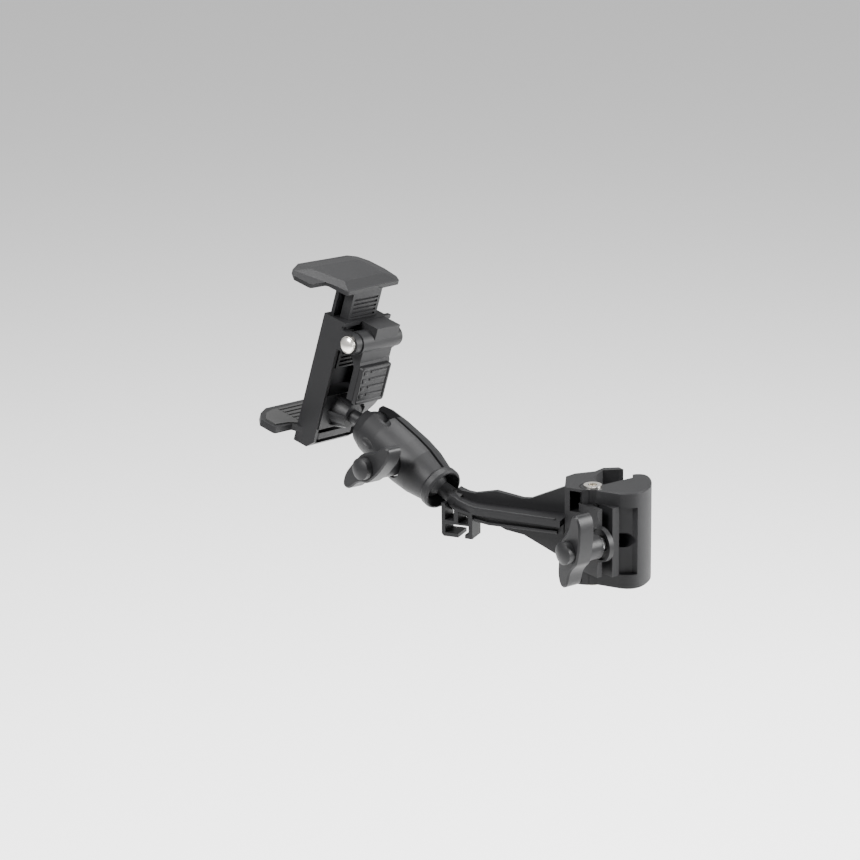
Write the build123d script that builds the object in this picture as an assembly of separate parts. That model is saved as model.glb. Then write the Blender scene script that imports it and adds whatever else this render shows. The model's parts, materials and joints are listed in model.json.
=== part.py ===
from build123d import *
import math
import os

os.makedirs("parts", exist_ok=True)

# Sizes in mm. Frame: origin on the pole axis at the clamp's mid height, +Z up.
CLAMP_HALF = 25.0
SCREW_SIDE = 35.0
SCREW_Q = -22.0
FIT = 0.3
RUNNING = 0.06
SOFT = 0.5
PIN_P, PIN_Q = -20.15, -7.5
PIN_RADIUS = 3.4
PIN_HEAD_RADIUS = 4.5
BOSS_RADIUS = 6.2
KNUCKLE_RADIUS = 5.5
LUG_Z = 18.0
SCREW_RADIUS = 3.95
CHEEK_OUT, CHEEK_IN = -28.0, -25.2
CHEEK_END = -21.4
BOSS_SEAT = 9.0
EAR_FACE = -21.2
EAR_THICK = 4.2
EAR_END = -24.6
INSERT_RADIUS = 5.2
SLOT_P, SLOT_HALF = -13.4, 3.7
HUB_RADIUS = 6.75
RECESS_RADIUS = 7.9
WING_Z0, WING_Z1 = 10.0, 18.8
CAP_RADIUS = 5.7
CAP_END = 24.0
ARM_HEADING = 24.0
NECK_RISE = 33.0
BALL_RADIUS = 8.75
NECK_RADIUS = 3.6
HOUSING_RADIUS = 14.2
COLLAR_RADIUS = 8.94
RING_RADIUS = 11.5
DENT_HEIGHT = 15.4
ARM_CLEAR = 16.4
PARTING = 0.8
BOLT_RADIUS = 2.9
STUD_RADIUS = 3.6
BODY_LEFT, BODY_RIGHT = -10.5, 24.0
BODY_TOP, BODY_BOTTOM = 24.5, -48.5
BODY_DEPTH = 13.0
WALL = 2.0
STUD_A, STUD_B, STUD_N = 4.8, -27.1, 38.0
LEVER_B, LEVER_N = 15.0, 20.0
LEVER_PIN = 2.5
LEVER_TRAVEL = 8
CAP_B = 39.6
CAP_THICK = 2.2
LIP_B = -39.6
RAIL_N = 11.9
RAIL_END = -3.0

SLAB_CENTRE = Vector(-145.69, 69.99, 71.59)
E1 = Vector(0.6146, 0.7843, -0.0847)
E2 = Vector(0.2516, -0.0931, 0.9633)
OUT = Vector(0.7477, -0.6134, -0.2546)
ARM_BALL = Vector(-92.9, 21.3, 17.9)
STUD_BALL = SLAB_CENTRE + E1 * STUD_A + E2 * STUD_B + OUT * STUD_N
KNOB_SIDE = Vector(-0.7196, -0.6872, 0.0607)


def side(angle):
    """Unit plan direction at an angle in degrees."""
    turn = math.radians(angle)
    return Vector(math.cos(turn), math.sin(turn), 0)


SOCKET_AXIS = (ARM_BALL - STUD_BALL).normalized()
HALF_SPAN = (ARM_BALL - STUD_BALL).length / 2
CLAMP = Plane(origin=(0, 0, 0), x_dir=side(SCREW_SIDE), z_dir=(0, 0, 1)).location
ARM = Plane(origin=(-25, -9, 0), x_dir=side(180 - ARM_HEADING), z_dir=(0, 0, 1)).location
KNOB_AXIS = (KNOB_SIDE - SOCKET_AXIS * KNOB_SIDE.dot(SOCKET_AXIS)).normalized()
SOCKET = Plane(origin=(ARM_BALL + STUD_BALL) * 0.5, x_dir=SOCKET_AXIS, z_dir=KNOB_AXIS).location
HOLDER = Plane(origin=SLAB_CENTRE, x_dir=E1, z_dir=OUT).location
CLAMP_KNOB = CLAMP * Plane(origin=(CHEEK_OUT, SCREW_Q, 0), x_dir=(0, -10, 40), z_dir=(-1, 0, 0)).location
SOCKET_SEAT = 11.6
BOLT_X = 5.5
SOCKET_KNOB = SOCKET * Plane(origin=(BOLT_X, 0, SOCKET_SEAT), x_dir=(0.47, 0.883, 0),
                             z_dir=(0, 0, 1)).location
SCREW_LINE = Plane(origin=(0, SCREW_Q, 0), x_dir=(0, 1, 0), z_dir=(1, 0, 0)).location


def box(x, y, z):
    """Box between two corners, each pair one axis."""
    size = Box(x[1] - x[0], y[1] - y[0], z[1] - z[0])
    return Pos((x[0] + x[1]) / 2, (y[0] + y[1]) / 2, (z[0] + z[1]) / 2) * size


def rod(radius, z0, z1):
    """Round bar along z."""
    return Pos(0, 0, (z0 + z1) / 2) * Cylinder(radius, z1 - z0)


def plate(points, z0, z1):
    """Outline in x and y, raised between two heights."""
    face = make_face(Polyline(*points, close=True))
    return extrude(Pos(0, 0, z0) * face, amount=z1 - z0, dir=(0, 0, 1))


def profile(points, y0, y1):
    """Outline in x and z, drawn out between two values of y."""
    face = Plane.XZ * make_face(Polyline(*points, close=True))
    return extrude(Pos(0, y0, 0) * face, amount=y1 - y0, dir=(0, 1, 0))


def along_x(radius, x0, x1):
    """Round bar along x."""
    return Pos((x0 + x1) / 2, 0, 0) * Rot(0, 90, 0) * Cylinder(radius, x1 - x0)


def turned(points):
    """Body of revolution about x, from its outline in x and radius."""
    return revolve(make_face(Polyline(*points, close=True)), Axis.X)


def soft_face(points, radius):
    """Face in x and z whose corners are rounded."""
    face = make_face(Polyline(*points, close=True))
    return fillet(face.vertices(), radius)


def save(part, name):
    """Write one node."""
    export_step(part, "parts/" + name + ".step")


FIXED_TOP = [(-31.9, 0), (-20.8, 13.2), (-14.2, 14.2), (-4.05, 10.8), (2.8, 12.7), (9.6, 8.5), (9.3, 4.5),
             (7, 5.6), (0, 9.63), (-11.35, 3.1), (-15.4, -7.8), (-24, -12), (-25.3, -11.4), (-28, -8.5)]
FIXED_HOLLOW = [(-30.6, -2.4), (-20, 11), (-15, 11.6), (-9.5, 9.7), (-14.3, 5.2), (-17, -1.2), (-24.2, -2.4),
                (-26, -6.6), (-28.2, -9.2), (-33, -7)]


def cheek():
    """Plate that carries the screw, with the round boss and recess of the knob."""
    q0 = PIN_Q - 1
    plain = plate([(CHEEK_OUT, q0), (CHEEK_OUT, CHEEK_END), (CHEEK_IN, CHEEK_END), (CHEEK_IN, q0)],
                  FIT - LUG_Z, LUG_Z - FIT)
    plain += plate([(CHEEK_OUT, q0), (CHEEK_IN, q0 - 6), (-22, q0 - 0.5),
                    (-22, q0 + 2), (CHEEK_OUT, q0 + 2)],
                   FIT - LUG_Z, LUG_Z - FIT)
    plain += SCREW_LINE * rod(BOSS_SEAT, CHEEK_OUT, CHEEK_IN)
    plain -= SCREW_LINE * rod(RECESS_RADIUS, CHEEK_OUT - 1, CHEEK_OUT + 1.4)
    return plain - SCREW_LINE * rod(INSERT_RADIUS, CHEEK_OUT - 1, CHEEK_IN + 1)


def fixed_jaw():
    """V side of the clamp: plates, walls, knuckle and cheek."""
    jaw = plate(FIXED_TOP, -CLAMP_HALF, CLAMP_HALF)
    for z0, z1 in ((12.9, CLAMP_HALF - 1.4), (1.4 - CLAMP_HALF, -12.9)):
        jaw -= plate(FIXED_HOLLOW, z0, z1)
    for z0, z1 in ((LUG_Z - FIT, 30), (-30, FIT - LUG_Z)):
        jaw -= Pos(PIN_P, PIN_Q, 0) * rod(BOSS_RADIUS + FIT, z0, z1)
    jaw -= plate([(-14, -20), (-26, -20), (-26, -9.6), (-14, -9.6)], FIT - LUG_Z, LUG_Z - FIT)
    jaw += Pos(PIN_P, PIN_Q, 0) * rod(KNUCKLE_RADIUS, FIT - LUG_Z, LUG_Z - FIT)
    return jaw + cheek() - Pos(PIN_P, PIN_Q, 0) * rod(PIN_RADIUS, -30, 30)


ARM_FLANGE = [(-2, 8.4), (44, 8.4), (49, 8.8), (54.5, 10.2), (59, 12.4), (65, 16.2), (66.8, 13.4), (61, 9.6),
              (55.5, 7.0), (49, 5.5), (44, 5.1), (-2, 5.1)]
ARM_CORE = [(-2, 6), (46, 6), (54, 7.6), (62, 11.5), (64, 8.6), (56, 4.6), (46, 1.2), (38, 0), (-2, 0)]
ARM_WEB = [(-2, 22.5), (1, 22), (18.7, 14), (23, 13.6), (37.3, 15.7), (49, 13.2), (56, 13.8),
           (62, 16.6), (66, 13), (56, 6), (46, 2), (32, -4.3), (22.2, -5.7), (8.6, -12), (-2, -17)]
ARM_PLAN = [(-2, 13.7), (45, 11.5), (56, 8.8), (66, 5.6), (68, 5), (68, -5), (66, -5.6), (56, -8.8),
            (45, -11.5), (-2, -13.7)]


def guide():
    """Two open cells with feet under the left end of the arm."""
    front = 11.0
    cells = profile([(63.4, 9.5), (63.4, -7), (62.2, -8.2), (46.5, -8.2), (46.5, 5.6), (55, 7.2)], 0, front)
    cells -= profile([(61.5, 9.5), (61.5, 0.5), (56.6, 0.5), (56.6, 7.2)], -1, front + 1)
    cells -= profile([(54.3, 5.4), (54.3, -0.5), (48.6, -0.5), (48.6, 4.6)], -1, front + 1)
    cells -= box((48.6, 61.4), (-1, front + 1), (-6.2, -1.5))
    return cells - box((50.6, 54.2), (-1, front + 1), (-9, -1.5))


def arm():
    """T-section arm with its lower ledge, web, gussets and the neck of the ball."""
    plan = plate(ARM_PLAN, -20, 30)
    flange = profile(ARM_FLANGE, -14, 14) & plan
    core = profile(ARM_CORE, -8.5, 8.5) & plan
    web = profile(ARM_WEB, -1.5, 1.5)
    return flange + core + web + guide()


def neck():
    """Ball of the arm and the tapering neck that carries it."""
    down = Vector(math.cos(math.radians(ARM_HEADING)), -math.sin(math.radians(ARM_HEADING)), 0)
    fall = down * math.cos(math.radians(NECK_RISE)) - Vector(0, 0, math.sin(math.radians(NECK_RISE)))
    line = Plane(origin=ARM_BALL, x_dir=(0.4, 0.9, 0), z_dir=fall).location
    stem = Pos(0, 0, 8) * Cone(NECK_RADIUS, NECK_RADIUS + 0.5, 12)
    return line * (Sphere(BALL_RADIUS) + stem + Pos(0, 0, 16.5) * Cone(NECK_RADIUS + 0.5, 5.6, 5))


def arm_bracket():
    """One casting: fixed jaw, arm, neck and ball."""
    return CLAMP * fixed_jaw() + (ARM * arm() - Pos(ARM_BALL) * Sphere(ARM_CLEAR)) + neck()


def hinge_pin():
    """Tubular rivet through the lugs and the knuckle."""
    pin = rod(PIN_RADIUS, -CLAMP_HALF - 0.3, CLAMP_HALF + 0.4)
    pin += rod(PIN_HEAD_RADIUS, CLAMP_HALF + 0.1, CLAMP_HALF + 0.9)
    pin += rod(PIN_HEAD_RADIUS, -CLAMP_HALF - 0.9, -CLAMP_HALF - 0.1)
    return CLAMP * Pos(PIN_P, PIN_Q, 0) * (pin - rod(2.3, CLAMP_HALF - 3, 40))


def screw_insert():
    """Brass threaded insert in the cheek."""
    ring = rod(INSERT_RADIUS, CHEEK_OUT + 1.4, CHEEK_IN + 0.2)
    return CLAMP * SCREW_LINE * (ring - rod(SCREW_RADIUS + RUNNING, CHEEK_OUT, CHEEK_IN + 1))


JAW_SIDE = [(7.9, -4.4), (12.6, -8.5), (9.2, -17.8), (0, -26.8), (-9, -29.7), (-16.7, -24.8)]
JAW_BACK = [(-16.7, -24.8), (-21.5, -15.1), (-24, -9.5), (-16, -8.34), (5, -8.34), (7.9, -4.4)]


def clamp_jaw():
    """Half-moon jaw: flanges, recessed front wall with its slot, and the ear the screw pushes."""
    face = make_face([*Spline(*JAW_SIDE).edges(), *Polyline(*JAW_BACK).edges()])
    jaw = extrude(Pos(0, 0, -CLAMP_HALF) * face, amount=2 * CLAMP_HALF, dir=(0, 0, 1))
    jaw = chamfer(jaw.edges().group_by(Axis.Z)[-1] + jaw.edges().group_by(Axis.Z)[0], SOFT)
    jaw += Pos(PIN_P, PIN_Q, 0) * rod(BOSS_RADIUS, -CLAMP_HALF, CLAMP_HALF)
    jaw -= Pos(PIN_P, PIN_Q, 0) * rod(KNUCKLE_RADIUS + 1, -LUG_Z, LUG_Z)
    inner = EAR_FACE + EAR_THICK
    window = LUG_Z - 0.5
    jaw -= plate([(inner, -22.4), (-10.4, -27.0), (-8.8, -31), (-12, -36), (inner, -36)], -window, window)
    jaw -= plate([(-30, -13.6), (EAR_FACE, -13.6), (EAR_FACE, -40), (-30, -40)], -window, window)
    jaw -= plate([(-30, -13.7), (-16, -13.7), (-14.2, -12), (-14.2, 0), (-30, 0)], -LUG_Z, LUG_Z)
    jaw += box((EAR_FACE, inner), (EAR_END, -14), (-LUG_Z, LUG_Z))
    slot = box((inner + 0.3, SLOT_P), (-40, -13), (-SLOT_HALF, SLOT_HALF))
    slot += Pos(SLOT_P, -26.5, 0) * Rot(90, 0, 0) * Cylinder(SLOT_HALF, 27)
    jaw -= slot
    return CLAMP * (jaw - Pos(PIN_P, PIN_Q, 0) * rod(PIN_RADIUS + RUNNING, -30, 30))


def thrust_cap():
    """Domed shoe on the screw's end, pressed on the ear without turning."""
    tip = EAR_FACE - FIT
    shoe = rod(SCREW_RADIUS - 0.05, tip - 4.6, tip) & Pos(0, 0, tip - 6) * Sphere(6)
    return CLAMP * SCREW_LINE * (shoe - rod(1.6, tip - 5, tip - 1.8))


def wing_outline():
    """Propeller outline of both wing knobs."""
    half = [(-3, -6.9), (4, -7.0), (12, -5.9), (18.8, -3.2), (20.6, -0.4), (19, 2.0), (13, 3.0), (7.4, 4.7)]
    return make_face(Spline(*half, *[(-x, -y) for x, y in half], periodic=True))


def wing_knob(hub_from):
    """Hub with two offset wings; local z runs outwards from the seat."""
    wings = extrude(Pos(0, 0, WING_Z0) * wing_outline(), amount=WING_Z1 - WING_Z0, dir=(0, 0, 1))
    wings = chamfer(wings.edges().group_by(Axis.Z)[-1], 0.8)
    knob = wings + rod(HUB_RADIUS, hub_from, WING_Z0 + 1)
    return knob - rod(CAP_RADIUS + 0.2, WING_Z1 - 3, WING_Z1 + 5)


def knob_cap():
    """Domed cap seated in the knob's face."""
    cap = rod(CAP_RADIUS, WING_Z1 - 3, CAP_END)
    dome = Pos(0, 0, CAP_END - 11) * Sphere(11)
    return cap & dome


def clamp_screw():
    """Screw from the knob through the insert, with the neck that carries the thrust cap."""
    tip = EAR_FACE - FIT
    screw = rod(SCREW_RADIUS, CHEEK_OUT - 14, tip - 4.8)
    return CLAMP * SCREW_LINE * (screw + rod(1.54, tip - 5, tip - 2))


def clamp_knob():
    """Wing knob of the clamp."""
    return CLAMP_KNOB * (wing_knob(1.9) - rod(SCREW_RADIUS, 0, 14))


BARREL = [(-28.5, 0), (-28.5, 9.5), (-26.5, 11.9), (-21, 13.4), (-10, HOUSING_RADIUS), (7, HOUSING_RADIUS),
          (17, 13.3), (24, 11.7), (28.5, 10.7), (28.5, 0)]


def housing():
    """Both shells as one body: barrel with ball pockets, openings, spring pocket and bolt hole."""
    shell = turned(BARREL)
    for x in (-HALF_SPAN, HALF_SPAN):
        shell -= Pos(x, 0, 0) * Rot(0, 90, 0) * Sphere(BALL_RADIUS + FIT)
    shell -= along_x(COLLAR_RADIUS + RUNNING, HALF_SPAN + 4, 40)
    shell -= Pos(-HALF_SPAN, 0, 0) * Rot(0, -90, 0) * Pos(0, 0, 9.5) * Cone(5.2, 10.5, 11)
    shell -= box((-40, -12), (0, 20), (-4.4, 6.2))
    shell -= Pos(BOLT_X, 0, 0) * rod(BOLT_RADIUS, -20, 20)
    shell -= Pos(BOLT_X, 0, 0) * rod(6.2, -6, 6)
    return shell


def shell_front():
    """Front shell with the knob's recess and two dents."""
    shell = housing() & box((-40, 40), (-20, 20), (PARTING, 20))
    shell -= Pos(BOLT_X, 0, 0) * rod(RECESS_RADIUS, SOCKET_SEAT - 1.6, 20)
    for turn in (-62, 0, 62):
        shell -= Rot(turn, 0, 0) * Pos(-13, 0, DENT_HEIGHT) * scale(Sphere(1), by=(5.6, 3.0, 2.4))
    return SOCKET * shell


def shell_rear():
    """Rear shell with the pocket of the bolt head."""
    shell = housing() & box((-40, 40), (-20, 20), (-20, -PARTING))
    shell -= Pos(BOLT_X, 0, 0) * rod(6.4, -20, -11.2)
    return SOCKET * shell


def socket_ring():
    """Retaining ring round the neck of the arm ball."""
    x0 = HALF_SPAN
    ring = turned([(27.6, 7), (27.6, COLLAR_RADIUS), (28.8, COLLAR_RADIUS), (28.8, 11), (29.8, RING_RADIUS),
                   (32.8, RING_RADIUS), (33.9, 10.9), (33.9, 10.1), (x0 + 7.4, 8.1)])
    return SOCKET * (ring - Pos(x0, 0, 0) * Rot(0, 90, 0) * Sphere(BALL_RADIUS + FIT))


def socket_bolt():
    """Bolt through both shells, its head in the rear shell."""
    bolt = rod(BOLT_RADIUS - RUNNING, -12, SOCKET_SEAT + 14)
    return SOCKET * Pos(BOLT_X, 0, 0) * (bolt + rod(6.0, -14.2, -11.2))


def socket_spring():
    """Coil that opens the shells when the knob is loosened, as a closed sleeve."""
    return SOCKET * Pos(BOLT_X, 0, 0) * (rod(5.6, -6, 6) - rod(3.6, -7, 7))


def socket_washer():
    """Washer under the knob."""
    washer = rod(7.2, SOCKET_SEAT - 1.6, SOCKET_SEAT - 0.5) - rod(BOLT_RADIUS + RUNNING, 0, 30)
    return SOCKET * Pos(BOLT_X, 0, 0) * washer


def socket_knob():
    """Wing knob of the socket."""
    return SOCKET_KNOB * (wing_knob(-0.4) - rod(4.6, -1, 5) - rod(BOLT_RADIUS + RUNNING, 0, WING_Z1 - 2))


def socket_nut():
    """Threaded bush moulded into the knob."""
    return SOCKET_KNOB * (rod(4.6, -0.4, 5) - rod(BOLT_RADIUS + RUNNING, -1, 6))


def ball_stud():
    """Ball with its round neck, turning in the holder's base."""
    stem = Pos(0, 0, -11) * Cylinder(STUD_RADIUS, 10)
    stud = Sphere(BALL_RADIUS) + stem + rod(4.6, -23.4, -15.6)
    return HOLDER * Pos(STUD_A, STUD_B, STUD_N) * stud


def stud_form(grown):
    """Cone and ribs of the stud base, grown by a clearance. The two ribs under the lever are low."""
    form = Pos(0, 0, -20) * Cone(8.4 + grown, 6.8 + grown, 9)
    for turn in range(0, 360, 60):
        foot = (8.9 if turn < 90 else 10) + grown
        head = (7 if turn < 90 else 7.2) + grown
        low = -24.5 - 8 * grown
        outline = [(5, -15.6 + grown), (head, -15.6 + grown), (foot, -24.4), (foot, low), (5, low)]
        form += Rot(0, 0, turn) * profile(outline, -0.9 - grown, 0.9 + grown)
    return Pos(STUD_A, STUD_B, STUD_N) * form


def stud_base():
    """Ribbed neck on the holder's back that takes the stud."""
    return stud_form(0) - Pos(STUD_A, STUD_B, STUD_N) * rod(4.6 + RUNNING, -23.4 - RUNNING, -10)


LIP = [(-8, 13), (20, 13), (24, 0), (30, -4), (32, -12), (29, -19.5), (24, -21.5), (-12, -21.5), (-20, -18),
       (-26, -12), (-26, -1.5), (-12, -1.5)]


def holder_body():
    """Moulded back with side walls, top ledge, rail channel, lever seat, stud base and lower jaw."""
    body = box((BODY_LEFT, BODY_RIGHT), (BODY_BOTTOM, BODY_TOP), (0, BODY_DEPTH))
    body = chamfer(body.edges().group_by(Axis.Y)[0].filter_by(Axis.X).sort_by(Axis.Z)[-1], 4)
    body -= box((BODY_LEFT + WALL, BODY_RIGHT - WALL), (-20, BODY_TOP - 2.2), (1.8, 20))
    body -= box((BODY_LEFT + WALL, BODY_RIGHT - WALL), (BODY_BOTTOM + 2.2, -18), (4.5, 20))
    body -= box((-8.5, 19.8), (0, 40), (1.8, 4.5))
    body -= box((-2.3, 14.3), (0, 40), (4, 7))
    body -= box((-5.8, 17.8), (0, 40), (6.2, 12.3))
    body += box((BODY_LEFT, BODY_RIGHT + 3.2), (BODY_TOP - 2.2, BODY_TOP),
                (BODY_DEPTH - 0.7, BODY_DEPTH + 1.5))
    for a0, a1 in ((BODY_LEFT, BODY_LEFT + 4.4), (BODY_RIGHT - 2, BODY_RIGHT + 3)):
        lug = box((a0, a1), (LEVER_B - 5.5, LEVER_B + 5.5), (BODY_DEPTH - 2, LEVER_N))
        lug += Pos(0, LEVER_B, LEVER_N) * along_x(5.5, a0, a1)
        body += lug
    body -= Pos(0, LEVER_B, LEVER_N) * along_x(LEVER_PIN, -20, 40)
    body += box((BODY_LEFT + 1, BODY_RIGHT - 1), (-37, -17.5), (4, STUD_N - 24.4))
    body -= box((12.9, 18.8), (-30, -24), (STUD_N - 26.2, STUD_N - 24))
    body += stud_base()
    body += extrude(Plane.XZ.offset(-LIP_B) * soft_face(LIP, 1.8), amount=3.6)
    return HOLDER * body


def lower_pad():
    """Rubber pad of the lower jaw."""
    outline = [(-9, -0.6), (24, -0.6), (29, -5), (30, -12), (27, -18), (-11, -18), (-18, -16), (-23.5, -11),
               (-23.5, -4), (-14, -3)]
    face = make_face(Polyline(*outline, close=True))
    return HOLDER * extrude(Plane.XZ.offset(-LIP_B) * face, amount=-0.6)


def back_pad(index):
    """Thin rubber strip on the face that the phone leans on."""
    b0 = (-30, 4)[index]
    return HOLDER * box((BODY_LEFT + 4, BODY_RIGHT - 4), (b0, b0 + 12), (-0.6, 0.0))


def lever_pin():
    """Rivet through the lever and its two lugs."""
    pin = along_x(LEVER_PIN, BODY_LEFT - 0.2, BODY_RIGHT + 3.4)
    pin += along_x(4.5, BODY_LEFT - 1.4, BODY_LEFT)
    pin += along_x(3.6, BODY_RIGHT + 3, BODY_RIGHT + 4.2)
    return HOLDER * Pos(0, LEVER_B, LEVER_N) * pin


LEVER_PLAN = [(-4.6, 12), (19.6, 12), (19.6, -22), (17, -28.5), (14.2, -28), (12, -22.5), (4, -17.5),
              (-4.6, -15.5)]


def release_lever():
    """Barrel on the pin, block above, plate and grooved thumb pad below, pawl towards the rail."""
    a0, a1 = BODY_LEFT + 4.7, BODY_RIGHT - 2.3
    barrel = Pos(0, LEVER_B, LEVER_N) * along_x(6.2, a0, a1)
    lever = barrel + box((3, a1), (LEVER_B - 2, 24.2), (14.6, 25.6))
    plan = Plane.YZ * make_face(Polyline((10.5, 15), (19, 25.5), (6, 25.4), (4.6, 26), (-17.4, 26),
                                         (-29, 20.5), (-29, 18), (-17, 22.4), (2, 22.2), (6, 20), close=True))
    plate_side = extrude(Pos(-4.6, 0, 0) * plan, amount=24.2, dir=(1, 0, 0))
    lever += plate_side & plate(LEVER_PLAN, 10, 30)
    for b in (0.4, -4.2, -8.8, -13.4):
        lever -= box((1, 15.5), (b - 0.5, b + 0.5), (25.3, 27))
    lever += box((3, 15), (LEVER_B + 2.5, LEVER_B + 5.5), (RAIL_N + FIT, LEVER_N - 2))
    pressed = Pos(0, LEVER_B, LEVER_N) * Rot(-LEVER_TRAVEL, 0, 0) * Pos(0, -LEVER_B, -LEVER_N)
    lever -= pressed * stud_form(FIT)
    return HOLDER * (lever - Pos(0, LEVER_B, LEVER_N) * along_x(LEVER_PIN + RUNNING, -20, 40))


CROWN = [(-11, 11.5), (31, 9.5), (34.5, 5), (36, -4), (36, -14.5), (33.5, -20.5), (29, -23), (-10, -23),
         (-20, -18)]
CAP_OUTLINE = [(-13, 13), (32, 11), (35.5, 6), (37.5, -4), (37.5, -15), (35, -21.5), (30, -24.5),
               (-10, -24.5), (-20, -19.5), (-26, -12.5), (-26, -1), (-13, -1)]


def upper_jaw():
    """Cap plate with its raised crown, toothed rail and front layer."""
    jaw = extrude(Plane.XZ.offset(-CAP_B) * soft_face(CAP_OUTLINE, 2), amount=-CAP_THICK)
    crown = make_face(Polyline(*CROWN, close=True))
    jaw += extrude(Plane.XZ.offset(-CAP_B - CAP_THICK) * crown, amount=-1.5, taper=78)
    jaw += box((-8.2, 19.5), (RAIL_END, CAP_B + 0.5), (2.1, 4.2))
    jaw += box((-2, 14), (RAIL_END, CAP_B + 0.5), (3.9, 6.8))
    rail = box((-5.5, 17.5), (RAIL_END, CAP_B + 0.5), (6.5, RAIL_N))
    for step in range(17):
        b = RAIL_END + 1 + 2.3 * step
        rail -= box((-3.5, 15.5), (b, b + 1.2), (11.1, 12.5))
    return HOLDER * (jaw + rail)


def upper_pad():
    """Rubber pad under the cap plate."""
    outline = [(-9, -0.6), (31, -0.6), (35, -5), (35, -14), (32.5, -19.5), (29, -21.5), (-9, -21.5),
               (-18, -17.5), (-23.5, -11.5), (-23.5, -3), (-12, -3)]
    face = make_face(Polyline(*outline, close=True))
    return HOLDER * extrude(Plane.XZ.offset(-CAP_B) * face, amount=1.0)


save(arm_bracket(), "arm_bracket")
save(hinge_pin(), "hinge_pin")
save(screw_insert(), "screw_insert")
save(clamp_jaw(), "clamp_jaw")
save(thrust_cap(), "thrust_cap")
save(clamp_knob(), "clamp_knob")
save(CLAMP_KNOB * knob_cap(), "clamp_knob_cap")
save(clamp_screw(), "clamp_screw")
save(shell_front(), "socket_shell_front")
save(shell_rear(), "socket_shell_rear")
save(socket_ring(), "socket_ring")
save(socket_bolt(), "socket_bolt")
save(socket_spring(), "socket_spring")
save(socket_washer(), "socket_washer")
save(socket_knob(), "socket_knob")
save(socket_nut(), "socket_knob_nut")
save(SOCKET_KNOB * knob_cap(), "socket_knob_cap")
save(ball_stud(), "ball_stud")
save(holder_body(), "holder_body")
save(lower_pad(), "lower_jaw_pad")
save(Compound(children=[back_pad(0), back_pad(1)]), "back_pads")
save(lever_pin(), "lever_pin")
save(release_lever(), "release_lever")
save(upper_jaw(), "upper_jaw")
save(upper_pad(), "upper_jaw_pad")
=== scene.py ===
# %% [markdown]
# A phone holder on a screw clamp, dressed for the camera.
# The solids come from the CAD part, so this file only gives them their finish and adds the small
# moulded detail that catches the light: the lever's thumb pad, the rivet domes, the rubber tread and
# two beads along the arm.
# Blender works in metres, in the CAD part's own frame, and the modelling helpers take millimetres.

# %% Load the part
import json
import math
import bpy
from mathutils import Matrix, Vector


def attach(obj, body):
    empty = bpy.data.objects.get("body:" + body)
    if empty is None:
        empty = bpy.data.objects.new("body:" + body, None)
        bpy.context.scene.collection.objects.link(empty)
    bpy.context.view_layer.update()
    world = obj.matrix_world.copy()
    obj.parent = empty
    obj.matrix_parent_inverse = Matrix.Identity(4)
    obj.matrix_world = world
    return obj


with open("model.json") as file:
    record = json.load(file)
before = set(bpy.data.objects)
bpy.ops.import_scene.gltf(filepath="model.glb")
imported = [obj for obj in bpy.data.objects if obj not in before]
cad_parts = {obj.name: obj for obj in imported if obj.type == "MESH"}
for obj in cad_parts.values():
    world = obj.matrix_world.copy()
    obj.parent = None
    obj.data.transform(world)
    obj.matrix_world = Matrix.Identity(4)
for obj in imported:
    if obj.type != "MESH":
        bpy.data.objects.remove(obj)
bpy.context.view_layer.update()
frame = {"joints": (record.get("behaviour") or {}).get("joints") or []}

joints = {joint["name"]: joint for joint in frame["joints"]}
MM = 0.001

# %% [markdown]
# Shader maths reads best as ordinary sums. A small wrapper round a socket lets `noise * 0.4 + 0.2`
# add the Math nodes by itself, and one method adds every other kind of node.

# %% A finish and its sockets
class Wire:
    """One output socket, with the sums that the finishes below use."""

    def __init__(self, finish, socket):
        self.finish = finish
        self.socket = socket

    def sum(self, operation, other):
        return self.finish.node("ShaderNodeMath", {"operation": operation}, [self, other])

    def __add__(self, other):
        return self.sum("ADD", other)

    def __mul__(self, other):
        return self.sum("MULTIPLY", other)


class Finish:
    """A material built round one Principled shader."""

    def __init__(self, name):
        self.material = bpy.data.materials.new(name)
        self.material.use_nodes = True
        self.tree = self.material.node_tree
        self.shader = self.tree.nodes["Principled BSDF"]
        self.place = self.node("ShaderNodeTexCoord", {}, [], "Object")

    def node(self, kind, settings, values, output=0):
        """Add a node: its settings first, then a value or a link for each socket."""
        made = self.tree.nodes.new(kind)
        for key, value in settings.items():
            setattr(made, key, value)
        pairs = values.items() if isinstance(values, dict) else enumerate(values)
        for key, value in pairs:
            self.fill(made.inputs[key], value)
        return Wire(self, made.outputs[output])

    def fill(self, socket, value):
        """Link a wire to a socket, or set the socket to a plain value."""
        if isinstance(value, Wire):
            self.tree.links.new(value.socket, socket)
        else:
            socket.default_value = value

    def give(self, **values):
        """Fill the shader's own sockets, spaces written as underscores."""
        for key, value in values.items():
            self.fill(self.shader.inputs[key.replace("_", " ")], value)

    def noise(self, per_metre, detail):
        values = {"Vector": self.place, "Scale": per_metre, "Detail": detail}
        return self.node("ShaderNodeTexNoise", {}, values)

    def blend(self, factor, first, second):
        """Mix two colours, which the Mix node takes at its sockets 6 and 7."""
        return self.node("ShaderNodeMix", {"data_type": "RGBA"}, {0: factor, 6: first, 7: second}, 2)

    def relief(self, height, strength, distance):
        """Turn a height into a bumped normal."""
        return self.node("ShaderNodeBump", {}, {"Strength": strength, "Distance": distance, "Height": height})


# %% [markdown]
# The mouldings are glass-filled nylon: a dark neutral grey with a fine spark-eroded grain that
# scatters the highlight. Two noises do it, a coarse one for the faint cloudiness of the colour and
# a fine one for the grain. The knobs are smoother, with a shallower grain.

# %% Moulded nylon
CLOUDS_PER_METRE = 38.0
NYLON_DETAIL = 2.0
ROUGH_SPREAD = 0.16
GRAIN_DEPTH = 0.00012
DULL_SPECULAR = 0.2


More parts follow.
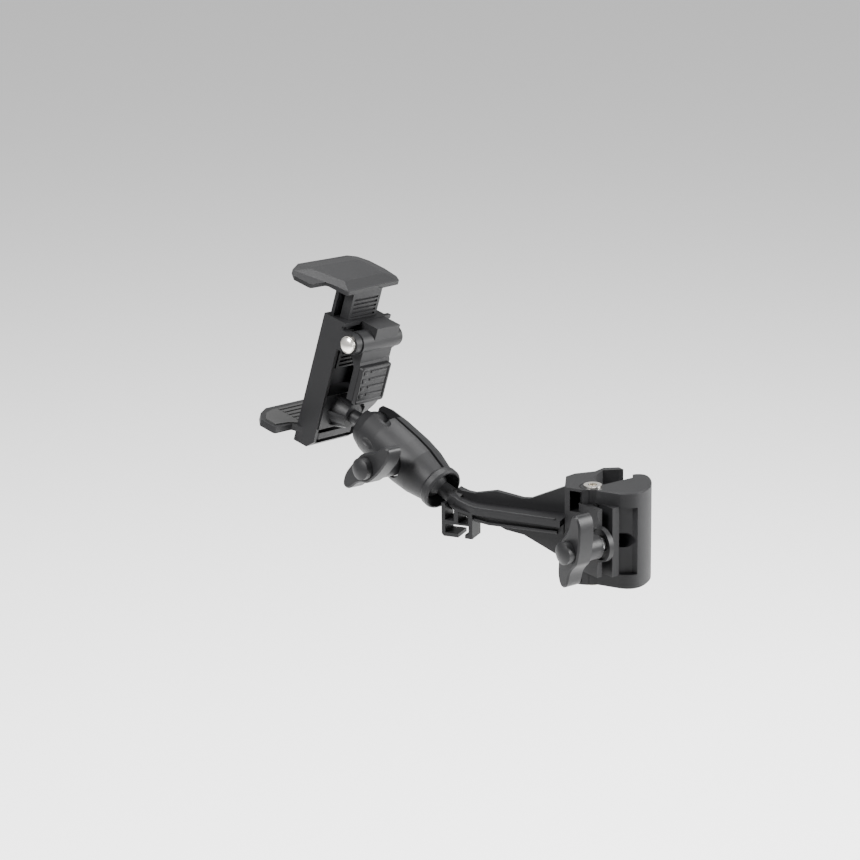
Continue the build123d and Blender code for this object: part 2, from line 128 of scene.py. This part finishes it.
def moulded(name, dark, light, rough, grain, per_metre):
    """Dark plastic with cloudy colour and a fine grain."""
    made = Finish(name)
    cloud = made.noise(CLOUDS_PER_METRE, NYLON_DETAIL)
    speck = made.noise(per_metre, NYLON_DETAIL)
    made.give(Base_Color=made.blend(cloud, dark, light),
              Roughness=speck * ROUGH_SPREAD + (rough - ROUGH_SPREAD / 2),
              Normal=made.relief(speck, grain, GRAIN_DEPTH), Specular_IOR_Level=DULL_SPECULAR)
    return made.material


nylon = moulded("nylon_textured", dark=(0.004, 0.004, 0.0045, 1), light=(0.007, 0.007, 0.0075, 1),
                rough=0.50, grain=0.30, per_metre=2600.0)
satin = moulded("nylon_satin", dark=(0.005, 0.005, 0.0055, 1), light=(0.009, 0.009, 0.0095, 1),
                rough=0.46, grain=0.12, per_metre=1500.0)
print("plastics", nylon.name, satin.name)

# %% [markdown]
# Rubber is about as dark as the nylon and has no gloss to speak of. The metals are plain: nickel on
# the rivets, zinc on the bolt, its spring and washer and the thrust cap, brass on the hidden nut. The
# bush in the cheek is near-black metal, a painted shade for the shadow of the recess that the hub
# enters. The clamp's screw is zinc too, and its thread is a wave of bump
# with the same lead as the joint that turns it.

# %% Rubber and metals
SCREW_LEAD = 0.00125
ZINC_GREY = (0.60, 0.60, 0.61, 1)


def rubbery(name, colour, rough, spread):
    """Soft pad with a matt grain."""
    made = Finish(name)
    speck = made.noise(per_metre=1800.0, detail=3.0)
    made.give(Base_Color=colour, Roughness=speck * spread + rough,
              Normal=made.relief(speck, strength=0.25, distance=0.0001))
    return made.material


def metal(name, colour, rough, scratch):
    """Bare metal whose roughness wavers with a fine streak."""
    made = Finish(name)
    streak = made.noise(per_metre=900.0, detail=4.0)
    made.give(Base_Color=colour, Metallic=1.0, Roughness=streak * scratch + rough,
              Normal=made.relief(streak, strength=0.08, distance=0.00005))
    return made.material


def threaded(name, colour, axis, lead):
    """Steel whose thread is a wave of bump along the screw's axis."""
    made = Finish(name)
    along = made.node("ShaderNodeVectorMath", {"operation": "DOT_PRODUCT"}, [made.place, axis], 1)
    crest = made.node("ShaderNodeMath", {"operation": "SINE"}, [along * (2 * math.pi / lead)])
    made.give(Base_Color=colour, Metallic=1.0, Roughness=0.3,
              Normal=made.relief(crest, strength=0.9, distance=0.00025))
    return made.material


rubber = rubbery("rubber_pad", (0.008, 0.008, 0.008, 1), rough=0.68, spread=0.15)
nickel = metal("nickel_rivet", (0.80, 0.77, 0.72, 1), rough=0.16, scratch=0.12)
zinc = metal("zinc_steel", ZINC_GREY, rough=0.26, scratch=0.2)
thread = threaded("zinc_thread", ZINC_GREY, joints["clamp_screw_travel"]["axis"], SCREW_LEAD)
brass = metal("brass_nut", (0.72, 0.55, 0.28, 1), rough=0.24, scratch=0.16)
# near-black bush: painted shade for the shadowed recess round the clamp knob's hub
shade_black = metal("bush_painted_recess_shade", (0.03, 0.03, 0.03, 1), rough=0.42, scratch=0.16)
print("others", rubber.name, nickel.name, zinc.name, thread.name, brass.name, shade_black.name)

# %% Give every CAD node its finish
finishes = {
    nylon: ["arm_bracket", "clamp_jaw", "socket_ring", "socket_shell_front", "socket_shell_rear", "ball_stud",
            "holder_body", "release_lever", "upper_jaw"],
    satin: ["clamp_knob", "clamp_knob_cap", "socket_knob", "socket_knob_cap"],
    rubber: ["lower_jaw_pad", "upper_jaw_pad", "back_pads"],
    nickel: ["hinge_pin", "lever_pin"],
    thread: ["clamp_screw"],
    zinc: ["thrust_cap", "socket_bolt", "socket_spring", "socket_washer"],
    brass: ["socket_knob_nut"],
    shade_black: ["screw_insert"],
}
for finish, names in finishes.items():
    for name in names:
        solid = bpy.data.objects[name]
        solid.data.materials.clear()
        solid.data.materials.append(finish)
print("dressed", sum(len(names) for names in finishes.values()), "nodes")

# %% [markdown]
# Every added detail sits on a solid, so its place comes from the joints of the part: the lever's
# pin and the axis that the holder spins about give the holder's frame. A frame is a matrix that
# turns a piece drawn flat at the origin into its place.

# %% Frames read from the joints
LEVER_B, LEVER_N = 15.0, 20.0


def axes(origin, x, z):
    """Matrix of a frame with its origin and two of its axes."""
    z = Vector(z).normalized()
    x = (Vector(x) - z * Vector(x).dot(z)).normalized()
    y = z.cross(x)
    matrix = Matrix((x, y, z)).transposed().to_4x4()
    matrix.translation = Vector(origin)
    return matrix


lever_joint = joints["lever_release"]
holder = axes((0, 0, 0), lever_joint["axis"], joints["holder_spin"]["axis"])
holder.translation = Vector(lever_joint["pos_m"]) - holder @ Vector((0, LEVER_B * MM, LEVER_N * MM))
print("holder frame", [round(v, 4) for v in holder.translation])

# %% [markdown]
# A few small helpers carry the modelling: a box between two corners, a choice of faces or edges by
# their place, a bevel, a copy with its own mesh, a row of copies, and the last step that dresses a
# piece and lets it ride.

# %% Modelling helpers
WELD_GAP = 0.000002
SMOOTH_ANGLE = math.radians(35)


def block(name, x, y, z):
    """Box between two corners in mm, the start of most pieces."""
    bpy.ops.object.select_all(action="DESELECT")
    corners = [x, y, z]
    bpy.ops.mesh.primitive_cube_add(size=1, location=[(a + b) / 2 * MM for a, b in corners])
    piece = bpy.context.object
    piece.name = name
    piece.scale = [(b - a) * MM for a, b in corners]
    bpy.ops.object.transform_apply(location=True, rotation=True, scale=True)
    return piece


def choose(piece, kind, test):
    """Go to edit mode with only the faces or edges chosen whose middle in mm passes the test."""
    bpy.ops.object.mode_set(mode="EDIT")
    bpy.ops.mesh.select_mode(type=kind)
    bpy.ops.mesh.select_all(action="DESELECT")
    bpy.ops.object.mode_set(mode="OBJECT")
    mesh = piece.data
    if kind == "FACE":
        for face in mesh.polygons:
            face.select = test(face.center / MM, face.normal)
    else:
        for edge in mesh.edges:
            ends = [mesh.vertices[index].co / MM for index in edge.vertices]
            edge.select = test((ends[0] + ends[1]) / 2, ends[1] - ends[0])
    bpy.ops.object.mode_set(mode="EDIT")


def soften(piece, width, segments, test):
    """Bevel the edges that pass the test, by a width in mm."""
    choose(piece, "EDGE", test)
    bpy.ops.mesh.bevel(offset=width * MM, segments=segments, affect="EDGES")
    bpy.ops.object.mode_set(mode="OBJECT")


def copied(piece, name, shift):
    """A copy with its own mesh, moved by mm."""
    twin = piece.copy()
    twin.data = piece.data.copy()
    twin.name = name
    bpy.context.scene.collection.objects.link(twin)
    twin.data.transform(Matrix.Translation(Vector(shift) * MM))
    return twin


def row(piece, name, shift, count):
    """The piece and its copies, each one shift in mm further on."""
    return [piece] + [copied(piece, name, [part * step for part in shift]) for step in range(1, count)]


def settle(piece, place, finish, body):
    """Turn a finished piece into place, dress it and let it ride on its body."""
    piece.data.transform(place)
    piece.data.materials.clear()
    piece.data.materials.append(finish)
    bpy.ops.object.select_all(action="DESELECT")
    bpy.context.view_layer.objects.active = piece
    piece.select_set(True)
    bpy.ops.object.mode_set(mode="EDIT")
    bpy.ops.mesh.select_all(action="SELECT")
    bpy.ops.mesh.remove_doubles(threshold=WELD_GAP)
    bpy.ops.mesh.normals_make_consistent(inside=False)
    bpy.ops.object.mode_set(mode="OBJECT")
    bpy.ops.object.shade_smooth_by_angle(angle=SMOOTH_ANGLE)
    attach(piece, body)
    print(piece.name, len(piece.data.polygons), "faces")


# %% [markdown]
# The thumb pad of the release lever is a raised cushion with a frame round it. It is one block with
# its face inset and sunk. Four long ribs beside a column of four short ones stand in the sunk face,
# so that a thumb finds its grip.

# %% Thumb pad of the lever
PAD_A, PAD_B, PAD_N = (-4.4, 19.2), (-17.2, 4.2), (25.9, 28.3)
PAD_CORNER = 1.6
FRAME_WIDTH, WELL_SLOPE, WELL_DEPTH = 1.5, 0.5, 0.6
RIM_EDGE, RIB_EDGE, NOTCH_EDGE = 0.5, 0.45, 0.4
GRIP_FOOT, RIB_TOP, NOTCH_TOP = 27.0, 28.2, 28.1
GRIP_ROWS, GRIP_STEP = 4, (0, -4.35, 0)
NEAR_TOP = 0.1

pad = block("lever_thumb_pad", PAD_A, PAD_B, PAD_N)
soften(pad, PAD_CORNER, 3, lambda middle, way: abs(way.z) > 0.5)
choose(pad, "FACE", lambda middle, normal: normal.z > 0.9)
bpy.ops.mesh.inset(thickness=FRAME_WIDTH * MM, depth=0)
bpy.ops.mesh.inset(thickness=WELL_SLOPE * MM, depth=-WELL_DEPTH * MM)
bpy.ops.object.mode_set(mode="OBJECT")
soften(pad, RIM_EDGE, 2, lambda middle, way: middle.z > PAD_N[1] - NEAR_TOP and abs(way.z) < 0.1)
settle(pad, holder, nylon, "release_lever")

rib = block("lever_rib", (3.4, 16.8), (0.1, 1.5), (GRIP_FOOT, RIB_TOP))
soften(rib, RIB_EDGE, 2, lambda middle, way: middle.z > RIB_TOP - NEAR_TOP)
ribs = row(rib, "lever_rib", GRIP_STEP, GRIP_ROWS)
notch = block("lever_notch", (-2.0, 1.2), (-0.9, 1.5), (GRIP_FOOT, NOTCH_TOP))
soften(notch, NOTCH_EDGE, 2, lambda middle, way: middle.z > NOTCH_TOP - NEAR_TOP)
notches = row(notch, "lever_notch", GRIP_STEP, GRIP_ROWS)
for grip in ribs + notches:
    settle(grip, holder, nylon, "release_lever")

# %% [markdown]
# Both ends of the lever's rivet are peened to a bright dome. A sphere cut in half and pressed flat
# gives the true spun look.

# %% Rivet domes
LEFT_FACE, RIGHT_FACE = -11.8, 28.1
MIRRORED = Matrix.Scale(-1, 4, (1, 0, 0))


def dome(name, radius, height):
    """Low dome that rises along x from the origin."""
    bpy.ops.object.select_all(action="DESELECT")
    bpy.ops.mesh.primitive_uv_sphere_add(segments=48, ring_count=24, radius=radius * MM,
                                         rotation=(0, math.pi / 2, 0))
    piece = bpy.context.object
    piece.name = name
    bpy.ops.object.transform_apply(location=True, rotation=True, scale=True)
    bpy.ops.object.mode_set(mode="EDIT")
    bpy.ops.mesh.select_all(action="SELECT")
    bpy.ops.mesh.bisect(plane_co=(0, 0, 0), plane_no=(1, 0, 0), clear_outer=True, use_fill=True)
    bpy.ops.mesh.select_all(action="SELECT")
    bpy.ops.transform.resize(value=(height / radius, 1, 1), center_override=(0, 0, 0))
    bpy.ops.object.mode_set(mode="OBJECT")
    return piece


left_dome = dome("rivet_dome_left", radius=4.3, height=1.7)
left_dome.data.transform(Matrix.Translation(Vector((LEFT_FACE, LEVER_B, LEVER_N)) * MM))
settle(left_dome, holder, nickel, "holder")
right_dome = dome("rivet_dome_right", radius=3.4, height=1.2)
right_dome.data.transform(Matrix.Translation(Vector((RIGHT_FACE, LEVER_B, LEVER_N)) * MM) @ MIRRORED)
settle(right_dome, holder, nickel, "holder")

# %% [markdown]
# The rubber pads of both jaws carry a tread of low bars, moulded in one with the pad. One bar is
# bevelled and then repeated across.

# %% Rubber tread
FIRST_BAR = (-4.4, -2.8)
BARS, BAR_STEP, BAR_EDGE = 5, (0, 0, -3.2), 0.225


def tread(name, body, along, thick):
    """Row of low bars across a jaw pad, from the spans of the bars in mm."""
    bar = block(name, along, thick, FIRST_BAR)
    soften(bar, BAR_EDGE, 2, lambda middle, way: abs(way.z) < 0.1)
    for each in row(bar, name, BAR_STEP, BARS):
        settle(each, holder, rubber, body)


tread("lower_tread", "holder", along=(-7.0, 24.0), thick=(-39.1, -38.5))
tread("upper_tread", "upper_jaw", along=(-7.0, 31.0), thick=(38.1, 38.8))

# %% [markdown]
# Two slim beads stiffen the arm on the side that faces the camera: a rim along the edge of the flange
# and a second one under the ledge. Each starts as a short block whose end face is drawn out along the
# arm, step by step, so that it bends up with it.

# %% Beads of the arm
ARM_START, ARM_HEADING = Vector((-25, -9, 0)), math.radians(24)
BEAD_EDGE = 0.35
arm = axes(ARM_START * MM, (-math.cos(ARM_HEADING), math.sin(ARM_HEADING), 0), (0, 0, 1))


def bead(name, x, y, z, steps):
    """Bar drawn out along the arm by steps in mm, with softened long edges."""
    piece = block(name, x, y, z)
    end = x[1]
    for step in steps:
        choose(piece, "FACE", lambda middle, normal: middle.x > end - 0.01)
        bpy.ops.mesh.extrude_region_move(TRANSFORM_OT_translate={"value": Vector(step) * MM})
        bpy.ops.object.mode_set(mode="OBJECT")
        end += step[0]
    soften(piece, BEAD_EDGE, 2, lambda middle, way: abs(way.x) > 1.0)
    settle(piece, arm, nylon, "arm")


bead("arm_rim", (1, 3), (11.9, 13.4), (7.9, 9.3),
     [(42, -1.97, 0), (4, -0.98, 0.4), (5.5, -1.35, 1.4), (3, -0.8, 1.3)])
bead("arm_ledge_bead", (1, 3), (8.0, 10.2), (0.1, 1.7), [(35, 0, 0), (8, 0, 1.2)])

# %% [markdown]
# The floor is a wide pale sheet well below the holder, which hangs in the air by its clamp. Soft
# light comes from the upper left and the right, as in a product studio, with a weak fill from the
# front and one more light from above.

# %% Floor and light
FLOOR_SIZE, FLOOR_PLACE = 12, (0, 2, -0.32)
LIGHT_TARGET = (-0.08, 0.02, 0.03)
WORLD_STRENGTH = 0.7

bpy.ops.object.select_all(action="DESELECT")
bpy.ops.mesh.primitive_plane_add(size=FLOOR_SIZE, location=FLOOR_PLACE)
floor = bpy.context.object
floor.name = "studio_floor"
sheet = Finish("pale_floor")
sheet.give(Base_Color=(0.97, 0.97, 0.97, 1), Roughness=0.9)
floor.data.materials.append(sheet.material)


def softbox(name, place, size, watts):
    """Square area light that looks at the part."""
    light = bpy.data.lights.new(name, "AREA")
    light.shape = "SQUARE"
    light.size = size
    light.energy = watts
    lamp = bpy.data.objects.new(name, light)
    bpy.context.scene.collection.objects.link(lamp)
    lamp.location = place
    lamp.rotation_euler = (Vector(LIGHT_TARGET) - Vector(place)).to_track_quat("-Z", "Y").to_euler()


softbox("key_left", (-0.9, -0.6, 0.9), size=0.5, watts=48)
softbox("rim_right", (0.9, -0.1, 0.35), size=0.4, watts=40)
softbox("front_fill", (0.2, -1.3, 0.3), size=0.8, watts=3)
softbox("top", (-0.1, 0.3, 1.1), size=0.8, watts=30)
world = bpy.data.worlds.new("studio")
bpy.context.scene.world = world
world.use_nodes = True
background = world.node_tree.nodes["Background"]
background.inputs["Color"].default_value = (1, 1, 1, 1)
background.inputs["Strength"].default_value = WORLD_STRENGTH

# %% [markdown]
# The camera is fitted to the photograph: 17 degrees down, a long lens, and the clamp about a fifth
# of the frame's width to the right of centre. The fit is in pixels of the photograph: its side, the
# focal length, and where it shows the part's origin, which lies 1.39 m from the camera.

# %% Camera
DOWN, ROLL = math.radians(17.0), math.radians(0.885)
PHOTO_SIDE, FOCAL = 860.0, 2750.0
ORIGIN_RIGHT, ORIGIN_DOWN = 614.5, 521.9
ORIGIN_DEPTH = 1.390
SENSOR_WIDTH = 36.0

camera_data = bpy.data.cameras.new("photo_camera")
camera_data.sensor_width = SENSOR_WIDTH
camera_data.lens = SENSOR_WIDTH * (FOCAL / PHOTO_SIDE)
camera = bpy.data.objects.new("photo_camera", camera_data)
bpy.context.scene.collection.objects.link(camera)
turn = Matrix.Rotation(math.pi / 2 - DOWN, 3, "X") @ Matrix.Rotation(-ROLL, 3, "Z")
centre = PHOTO_SIDE / 2
origin_seen = Vector(((ORIGIN_RIGHT - centre) / FOCAL, (centre - ORIGIN_DOWN) / FOCAL, -1)) * ORIGIN_DEPTH
camera.matrix_world = Matrix.Translation(-(turn @ origin_seen)) @ turn.to_4x4()
bpy.context.scene.camera = camera
print("camera at", [round(v, 4) for v in camera.location])
